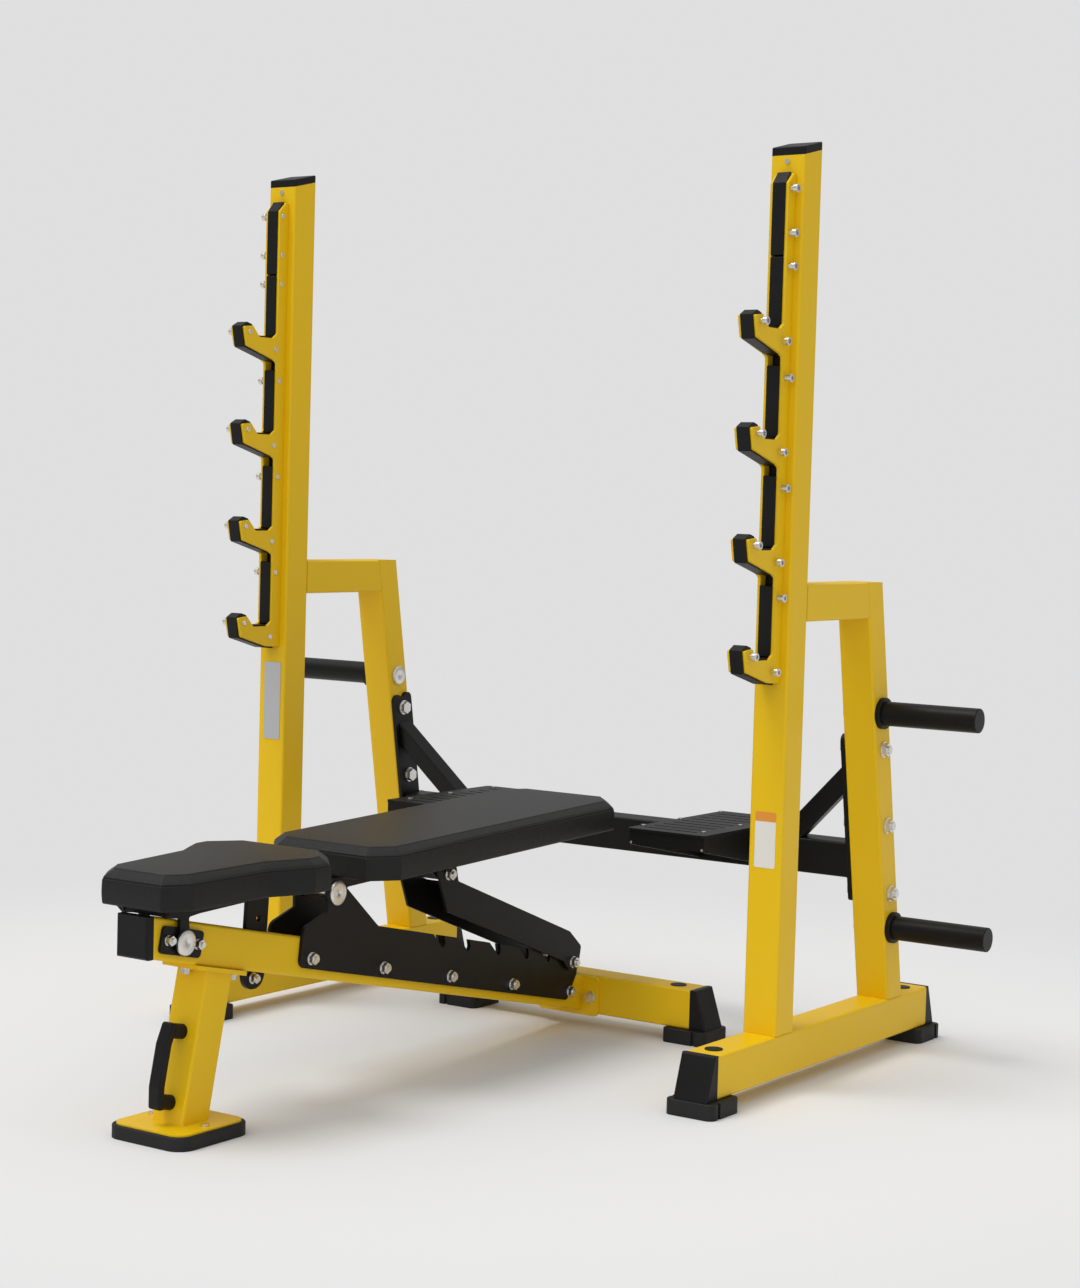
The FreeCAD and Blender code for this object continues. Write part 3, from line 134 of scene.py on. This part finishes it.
def fine_group():
    """Moulded plastic and rubber: very fine sandy height."""
    group, entry, leave = new_group("moulded grain", [("Scale", "NodeSocketFloat", 1500.0)],
                                    [("Height", "NodeSocketFloat"), ("Sheen", "NodeSocketFloat")])
    place = add(group, "ShaderNodeTexCoord")
    sand = add(group, "ShaderNodeTexNoise", Detail=3.0, Roughness=0.7)
    wire(group, place.outputs["Object"], sand.inputs["Vector"])
    wire(group, entry.outputs["Scale"], sand.inputs["Scale"])
    broad = add(group, "ShaderNodeTexNoise", Scale=25.0, Detail=3.0)
    wire(group, place.outputs["Object"], broad.inputs["Vector"])
    spread = add(group, "ShaderNodeMapRange", From_Min=0.3, From_Max=0.7, To_Min=-0.05, To_Max=0.05)
    wire(group, broad.outputs["Fac"], spread.inputs["Value"])
    wire(group, sand.outputs["Fac"], leave.inputs["Height"])
    wire(group, spread.outputs["Result"], leave.inputs["Sheen"])
    return group


POWDER = powder_group()
VINYL = leather_group()
MOULDED = fine_group()


# ---------------------------------------------------------------- materials
def material(name, colour, rough, metal=0.0, group=None, scale=None, bump=0.0, depth=0.0002,
             edge=0.0, gloss=0.5):
    """Principled material with a grain group for bump and roughness and softened edges."""
    mat = bpy.data.materials.new(name)
    mat.use_nodes = True
    tree = mat.node_tree
    shader = tree.nodes["Principled BSDF"]
    shader.inputs["Base Color"].default_value = (*colour, 1.0)
    shader.inputs["Roughness"].default_value = rough
    shader.inputs["Metallic"].default_value = metal
    shader.inputs["Specular IOR Level"].default_value = gloss
    normal = None
    if edge > 0:
        normal = add(tree, "ShaderNodeBevel", samples=4, Radius=edge)
    if group is not None:
        grain = add(tree, "ShaderNodeGroup", node_tree=group)
        if scale is not None:
            grain.inputs["Scale"].default_value = scale
        relief = add(tree, "ShaderNodeBump", Strength=bump, Distance=depth)
        wire(tree, grain.outputs["Height"], relief.inputs["Height"])
        if normal is not None:
            wire(tree, normal.outputs["Normal"], relief.inputs["Normal"])
        normal = relief
        if "Sheen" in grain.outputs:
            sheen = add(tree, "ShaderNodeMath", operation="ADD")
            sheen.inputs[1].default_value = rough
            wire(tree, grain.outputs["Sheen"], sheen.inputs[0])
            wire(tree, sheen.outputs["Value"], shader.inputs["Roughness"])
    if normal is not None:
        wire(tree, normal.outputs["Normal"], shader.inputs["Normal"])
    return mat


LABEL_PALE = (0.80, 0.78, 0.72)
LABEL_AMBER = (0.78, 0.30, 0.03)
LABEL_BAND = 0.018           # height of the amber band


def label_material():
    """Pale label with one plain amber band across its top."""
    mat = material("pale label", LABEL_PALE, 0.45)
    tree = mat.node_tree
    place = add(tree, "ShaderNodeTexCoord")
    split = add(tree, "ShaderNodeSeparateXYZ")
    wire(tree, place.outputs["Object"], split.inputs["Vector"])
    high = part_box("blank_label")[1]
    band = add(tree, "ShaderNodeMath", operation="GREATER_THAN")
    band.inputs[1].default_value = high[2] - LABEL_BAND
    wire(tree, split.outputs["Z"], band.inputs[0])
    mix = add(tree, "ShaderNodeMix", data_type="RGBA")
    mix.inputs[6].default_value = (*LABEL_PALE, 1.0)
    mix.inputs[7].default_value = (*LABEL_AMBER, 1.0)
    wire(tree, band.outputs["Value"], mix.inputs["Factor"])
    wire(tree, mix.outputs[2], tree.nodes["Principled BSDF"].inputs["Base Color"])
    return mat


MATERIALS = {
    "yellow_coat": material("yellow powder coat", (0.85, 0.54, 0.003), 0.42, group=POWDER,
                            bump=0.18, edge=0.0011, gloss=0.30),
    "black_coat": material("black powder coat", (0.0045, 0.0045, 0.0045), 0.42, group=POWDER,
                           scale=1300.0, bump=0.25, edge=0.0009, gloss=0.22),
    "liner": material("black liner plastic", (0.006, 0.006, 0.0062), 0.46, group=MOULDED,
                      bump=0.3, edge=0.0012, gloss=0.22),
    "rubber": material("black rubber", (0.009, 0.009, 0.009), 0.60, group=MOULDED,
                       scale=1100.0, bump=0.4, edge=0.0014, gloss=0.35),
    "steel": material("bright zinc steel", (0.76, 0.75, 0.73), 0.30, metal=1.0, group=MOULDED,
                      bump=0.12, edge=0.0005),
    "vinyl": material("charcoal vinyl", (0.011, 0.011, 0.0107), 0.37, group=VINYL,
                      bump=0.42, depth=0.0005, gloss=0.22),
    "board": material("black board", (0.018, 0.017, 0.016), 0.75, group=MOULDED, bump=0.3),
    "plate": material("satin plate", (0.62, 0.62, 0.62), 0.36, metal=1.0, group=MOULDED, bump=0.1),
    "label": label_material(),
}

for entry in RECORD["subparts"]:
    node = NODES.get(entry["node"])
    if node is None:
        continue
    paint = MATERIALS[entry["material_slot"]]
    if not node.material_slots:
        node.data.materials.append(paint)
    for place in node.material_slots:
        place.material = paint


# ---------------------------------------------------------------- meshes
def mesh_object(name, points, faces, slot_name, smooth=True):
    """Object at the origin from an array of points and a list of faces."""
    mesh = bpy.data.meshes.new(name)
    mesh.from_pydata(points.tolist(), [], faces)
    mesh.validate()
    mesh.update()
    mesh.materials.append(MATERIALS[slot_name])
    if smooth:
        mesh.polygons.foreach_set("use_smooth", np.ones(len(mesh.polygons), dtype=bool))
    piece = bpy.data.objects.new(name, mesh)
    bpy.context.scene.collection.objects.link(piece)
    return piece


def grid_faces(rows, columns, closed=True):
    """Quads of a grid whose columns run round a closed loop."""
    row = np.arange(rows - 1)[:, None] * columns
    col = np.arange(columns if closed else columns - 1)[None, :]
    nxt = (col + 1) % columns
    quads = np.stack([row + col, row + nxt, row + columns + nxt, row + columns + col], axis=-1)
    return quads.reshape(-1, 4).tolist()


ARC_POINTS = 5
EDGE_STEP = 4.0
PAD_CORNER = 3.2


def inset_corners(corners, distance):
    """Each corner moved inwards along its mitre, so every side moves in by a distance."""
    along_out = np.roll(corners, -1, axis=0) - corners
    along_out /= np.linalg.norm(along_out, axis=1, keepdims=True)
    along_in = np.roll(along_out, 1, axis=0)
    normal_in = np.stack([-along_in[:, 1], along_in[:, 0]], axis=1)
    normal_out = np.stack([-along_out[:, 1], along_out[:, 0]], axis=1)
    shared = 1 + (normal_in * normal_out).sum(1, keepdims=True)
    return corners + (normal_in + normal_out) / shared * distance


def plan_ring(corners, inset, radius):
    """Closed outline with an arc at each corner and evenly cut sides.  Every inset gives
    the same number of points, so rings at different heights join corner to corner."""
    corners = np.array(corners, dtype=float)
    counts = np.linalg.norm(np.roll(corners, -1, axis=0) - corners, axis=1)
    counts = np.maximum((counts / EDGE_STEP).astype(int), 3)
    corners = inset_corners(corners, inset)
    to_before = np.roll(corners, 1, axis=0) - corners
    to_before /= np.linalg.norm(to_before, axis=1, keepdims=True)
    to_after = np.roll(corners, -1, axis=0) - corners
    to_after /= np.linalg.norm(to_after, axis=1, keepdims=True)
    half = np.arccos(np.clip((to_before * to_after).sum(1), -1, 1)) / 2
    cut = radius / np.tan(half)
    middle = to_before + to_after
    middle /= np.linalg.norm(middle, axis=1, keepdims=True)
    centre = corners + middle * (radius / np.sin(half))[:, None]
    t = np.linspace(0, 1, ARC_POINTS)[None, :, None]
    first = (corners + to_before * cut[:, None] - centre)[:, None, :]
    last = (corners + to_after * cut[:, None] - centre)[:, None, :]
    chord = first * (1 - t) + last * t
    arcs = centre[:, None, :] + radius * chord / np.linalg.norm(chord, axis=2, keepdims=True)
    stretches = []
    for k, count in enumerate(counts):
        stretches.append(arcs[k])
        share = np.linspace(0, 1, count + 1)[1:-1, None]
        stretches.append(arcs[k][-1] * (1 - share) + arcs[(k + 1) % len(arcs)][0] * share)
    return np.concatenate(stretches)


def pad_profile():
    """Side of a pad as (inset, height) in mm, from the underside's rim to the top's rim:
    rolled lower edge, slightly full side, sewn groove, full bevel, soft upper edge."""
    rim = [(9.0, 0.2), (4.5, 0.0), (1.8, 0.8), (0.7, 2.6)]
    side = [(0.5 - 0.9 * math.sin(math.pi * t), 3.5 + 36.0 * t) for t in np.linspace(0.04, 1, 12)]
    seam = [(0.7, 41.0), (1.2, 42.2), (3.0, 42.9), (2.6, 43.6), (2.0, 44.6)]
    slope = []
    for t in np.linspace(0.08, 0.96, 14):
        full = 0.5 * math.sin(math.pi * t)
        slope.append((2.2 + 17.6 * t - 0.6 * full, 44.9 + 13.4 * t + 0.8 * full))
    top = [(19.6, 58.9), (20.4, 59.3), (22.0, 59.5)]
    return np.array(rim + side + seam + slope + top)


def side_pull(path, inset):
    """Sides drawn in between the corners, in mm: nothing at a corner, most halfway along
    a long side, by the distance of each point from its nearest corner."""
    reach = np.abs(path[:, 1] - path[:, 1].mean()) / np.abs(path[:, 1] - path[:, 1].mean()).max()
    return path * np.array([1.0, 0.0]) * (-0.008) * (1 - reach ** 2)[:, None] * (inset < 5)


def pad_piece(name, corners, slope, station, lift, node, body):
    """Upholstered pad: a profile carried round the plan outline, closed over the top by
    rings that shrink to the spine under a low crown, and under it by a flat base."""
    rings = []
    for inset, height in pad_profile():
        radius = PAD_CORNER - 0.07 * min(inset, 20.0)
        flat = plan_ring(corners, inset, radius)
        flat = flat + side_pull(flat, inset)
        rings.append(np.column_stack([flat, np.full(len(flat), height)]))
    rim = rings[-1][:, :2]
    half = np.abs(rim[:, 0]).max()
    y_low = rim[:, 1].min() + half * 0.75
    y_high = rim[:, 1].max() - half * 0.75
    spine = np.column_stack([np.zeros(len(rim)), np.clip(rim[:, 1], y_low, y_high)])
    for t in np.linspace(0, 1, 26)[1:]:
        flat = rim * (1 - t) + spine * t
        rings.append(np.column_stack([flat, np.full(len(rim), 59.5 + 1.5 * (1 - (1 - t) ** 2.2))]))
    under = rings[0][:, :2]
    for t in np.linspace(0, 1, 8)[1:]:
        flat = under * (1 - t) + spine * t
        rings.insert(0, np.column_stack([flat, np.full(len(rim), 0.2)]))
    points = np.concatenate(rings)
    faces = grid_faces(len(rings), len(rim))
    angle = math.radians(slope)
    y = points[:, 1] - station
    z = points[:, 2]
    placed = np.column_stack([points[:, 0], station + y * math.cos(angle) - z * math.sin(angle),
                              y * math.sin(angle) + z * math.cos(angle) + lift])
    piece = mesh_object(name, placed / 1000.0, faces, "vinyl")
    close_doubles(piece)
    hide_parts(node)
    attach(piece, body)
    return piece


def close_doubles(piece):
    """Merge the points that meet on the spine, and point every face outwards."""
    import bmesh
    work = bmesh.new()
    work.from_mesh(piece.data)
    bmesh.ops.remove_doubles(work, verts=work.verts, dist=0.00002)
    bmesh.ops.dissolve_degenerate(work, edges=work.edges, dist=0.00001)
    bmesh.ops.recalc_face_normals(work, faces=work.faces)
    work.to_mesh(piece.data)
    work.free()


def both_sides(right):
    """Counter-clockwise plan outline from the +X half, listed going to +Y."""
    return list(right) + [(-x, y) for x, y in reversed(right)]


def seat_corners():
    """Narrow nose, long waist and wide rear with cut corners, from the CAD seat's box."""
    low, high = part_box("seat_pad")
    front = low[1] * 1000 + 0.9
    rear = high[1] * 1000 - 1.4
    side = high[0] * 1000
    right = [(66, front), (98, front + 42), (112, front + 219), (131, front + 256)]
    right += [(side - 1, front + 293), (side, front + 333), (95, rear)]
    return both_sides(right)


def back_corners():
    low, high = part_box("back_pad")
    front = low[1] * 1000 + 1.9
    rear = high[1] * 1000 - 0.3
    side = high[0] * 1000
    return both_sides([(side - 45, front), (side, front + 45), (side, rear - 55), (side - 48, rear)])


SEAT_STATION = -780.2        # where each pad's underside has its stated height, in mm
SEAT_LIFT = 402.0
SEAT_SLOPE = 1.3             # degrees, rising towards the head end
BACK_STATION = 23.8
BACK_LIFT = 415.5
BACK_SLOPE = 2.0
pad_piece("seat_cushion", seat_corners(), SEAT_SLOPE, SEAT_STATION, SEAT_LIFT, "seat_pad", "seat")
pad_piece("back_cushion", back_corners(), BACK_SLOPE, BACK_STATION, BACK_LIFT, "back_pad", "back")


# ---------------------------------------------------------------- turned details
def lathe(name, profile, centre, axis, slot_name, body, segments=72):
    """Surface of revolution: (radius, height) pairs in metres turned about an axis."""
    profile = np.array(profile)
    angle = np.linspace(0, 2 * math.pi, segments, endpoint=False)
    ring = np.stack([np.cos(angle), np.sin(angle)], axis=1)
    flat = profile[:, None, 0:1] * ring[None, :, :]
    height = np.repeat(profile[:, 1][:, None, None], segments, axis=1)
    local = np.concatenate([flat, height], axis=2).reshape(-1, 3)
    turn = np.array(Vector((0, 0, 1)).rotation_difference(Vector(axis)).to_matrix())
    points = local @ turn.T + np.array(centre)
    piece = mesh_object(name, points, grid_faces(len(profile), segments), slot_name)
    close_doubles(piece)
    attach(piece, body)
    return piece


def disc_face(name, centre, axis, radius, body):
    """Flat turned face of a pin's disc, with a chamfer and a small centre dimple."""
    r = radius
    profile = [(0.0, 0.0), (0.0, 0.0004), (0.0016, 0.0004), (0.0022, 0.0010), (0.93 * r, 0.0010)]
    profile += [(0.99 * r, 0.0002), (0.99 * r, -0.0002), (0.0, -0.0002)]
    return lathe(name, profile, centre, axis, "steel", body)


def middle_of(node):
    low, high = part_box(node)
    return [(low[k] + high[k]) / 2 for k in range(3)]


SIDES = ((1, "right"), (-1, "left"))
PIN_AIR = 0.0003             # gap between the ladder plate and the back pin's disc
PIN_DISC = 0.004             # thickness of that disc
SCREW_PROUD = 0.005          # peg screw's head above the rear leg


def pivot_faces():
    """Turned faces on the seat's and the back's pivot discs."""
    low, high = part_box("seat_pivot_pin")
    centre = middle_of("seat_pivot_pin")
    for (side, word), x in zip(SIDES, (high[0], low[0])):
        disc_face("seat_pivot_face_" + word, (x, centre[1], centre[2]), (side, 0, 0), 0.0215, "seat")
    joints = {joint["name"]: joint for joint in RECORD["behaviour"]["joints"]}
    pivot = joints["back_tilt"]["pos_m"]
    ladder_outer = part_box("ladder_plate_right")[1][0]
    for side, word in SIDES:
        face = side * (ladder_outer + PIN_AIR + PIN_DISC)
        disc_face("back_pivot_face_" + word, (face, pivot[1], pivot[2]), (side, 0, 0), 0.022, "back")


def peg_screw_faces():
    """Turned faces on the large screws inside the rear legs."""
    for level in ("upper", "lower"):
        for side, word in SIDES:
            peg = middle_of("storage_peg_%s_%s" % (level, word))
            low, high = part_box("rear_leg_" + word)
            inner = low[0] if side > 0 else high[0]
            place = (inner - side * SCREW_PROUD, peg[1], peg[2])
            disc_face("peg_screw_face_%s_%s" % (level, word), place, (-side, 0, 0), 0.0195, "rack")


pivot_faces()
peg_screw_faces()


# ---------------------------------------------------------------- studio
FLOOR_TONE = 0.742
FADE_START = 0.9
FADE_END = 2.5


def studio_floor():
    """Very large pale floor that turns into the even backdrop tone away from the object."""
    size = 60.0
    points = np.array([(-size, -size, 0), (size, -size, 0), (size, size, 0), (-size, size, 0)], dtype=float)
    mesh = bpy.data.meshes.new("floor")
    mesh.from_pydata(points.tolist(), [], [(0, 1, 2, 3)])
    piece = bpy.data.objects.new("floor", mesh)
    bpy.context.scene.collection.objects.link(piece)
    mat = bpy.data.materials.new("pale floor")
    mat.use_nodes = True
    shader = mat.node_tree.nodes["Principled BSDF"]
    shader.inputs["Base Color"].default_value = (0.79, 0.79, 0.79, 1)
    shader.inputs["Roughness"].default_value = 0.75
    shader.inputs["Specular IOR Level"].default_value = 0.1
    tree = mat.node_tree
    place = add(tree, "ShaderNodeTexCoord")
    reach = add(tree, "ShaderNodeVectorMath", operation="LENGTH")
    wire(tree, place.outputs["Object"], reach.inputs[0])
    fade = add(tree, "ShaderNodeMapRange", From_Min=FADE_START, From_Max=FADE_END)
    fade.interpolation_type = "SMOOTHSTEP"
    wire(tree, reach.outputs["Value"], fade.inputs["Value"])
    sweep = add(tree, "ShaderNodeEmission")
    sweep.inputs["Color"].default_value = (FLOOR_TONE, FLOOR_TONE, FLOOR_TONE, 1)
    mix = add(tree, "ShaderNodeMixShader")
    wire(tree, fade.outputs["Result"], mix.inputs["Fac"])
    wire(tree, shader.outputs["BSDF"], mix.inputs[1])
    wire(tree, sweep.outputs["Emission"], mix.inputs[2])
    wire(tree, mix.outputs["Shader"], tree.nodes["Material Output"].inputs["Surface"])
    mesh.materials.append(mat)
    return piece


def studio_world():
    """Even pale backdrop for the camera; for the light, a dome brighter overhead."""
    world = bpy.data.worlds.new("studio")
    bpy.context.scene.world = world
    world.use_nodes = True
    tree = world.node_tree
    tree.nodes.clear()
    out = add(tree, "ShaderNodeOutputWorld")
    place = add(tree, "ShaderNodeTexCoord")
    split = add(tree, "ShaderNodeSeparateXYZ")
    wire(tree, place.outputs["Generated"], split.inputs["Vector"])
    ramp = add(tree, "ShaderNodeMapRange", From_Min=-0.1, From_Max=0.95, To_Min=0.30, To_Max=0.76)
    ramp.interpolation_type = "SMOOTHSTEP"
    wire(tree, split.outputs["Z"], ramp.inputs["Value"])
    dome = add(tree, "ShaderNodeBackground")
    dome.inputs["Color"].default_value = (1, 1, 1, 1)
    wire(tree, ramp.outputs["Result"], dome.inputs["Strength"])
    flat = add(tree, "ShaderNodeBackground")
    flat.inputs["Color"].default_value = (FLOOR_TONE, FLOOR_TONE, FLOOR_TONE, 1)
    path = add(tree, "ShaderNodeLightPath")
    mix = add(tree, "ShaderNodeMixShader")
    wire(tree, path.outputs["Is Camera Ray"], mix.inputs["Fac"])
    wire(tree, dome.outputs["Background"], mix.inputs[1])
    wire(tree, flat.outputs["Background"], mix.inputs[2])
    wire(tree, mix.outputs["Shader"], out.inputs["Surface"])


def soft_sun(name, direction, strength, width):
    """Distant soft light shining along a direction."""
    lamp = bpy.data.lights.new(name, "SUN")
    lamp.energy = strength
    lamp.angle = math.radians(width)
    piece = bpy.data.objects.new(name, lamp)
    bpy.context.scene.collection.objects.link(piece)
    piece.rotation_mode = "QUATERNION"
    piece.rotation_quaternion = Vector(direction).to_track_quat("-Z", "Y")


def studio_camera():
    """Long lens at chest height, off the rack's left front corner, barely rolled."""
    yaw, pitch, roll = (math.radians(a) for a in (34.388, 3.315, 1.590))
    ahead = Vector((-math.sin(yaw) * math.cos(pitch), math.cos(yaw) * math.cos(pitch), -math.sin(pitch)))
    level = Vector((math.cos(yaw), math.sin(yaw), 0))
    rise = level.cross(ahead)
    right = level * math.cos(roll) + rise * math.sin(roll)
    up = rise * math.cos(roll) - level * math.sin(roll)
    turn = Matrix((right, up, -ahead)).transposed()
    lens = bpy.data.cameras.new("camera")
    lens.sensor_fit = "VERTICAL"
    lens.sensor_height = 36.0
    lens.lens = 69.0
    lens.clip_end = 200.0
    piece = bpy.data.objects.new("camera", lens)
    bpy.context.scene.collection.objects.link(piece)
    piece.matrix_world = Matrix.Translation((2.8061, -3.7970, 1.0848)) @ turn.to_4x4()
    bpy.context.scene.camera = piece


studio_floor()
studio_world()
soft_sun("high key", (0.25, 0.35, -1.0), 1.30, 26.0)
soft_sun("front fill", (-0.35, 1.0, -0.45), 0.42, 60.0)
studio_camera()
bpy.context.scene.view_settings.view_transform = "Standard"
bpy.context.scene.view_settings.look = "None"
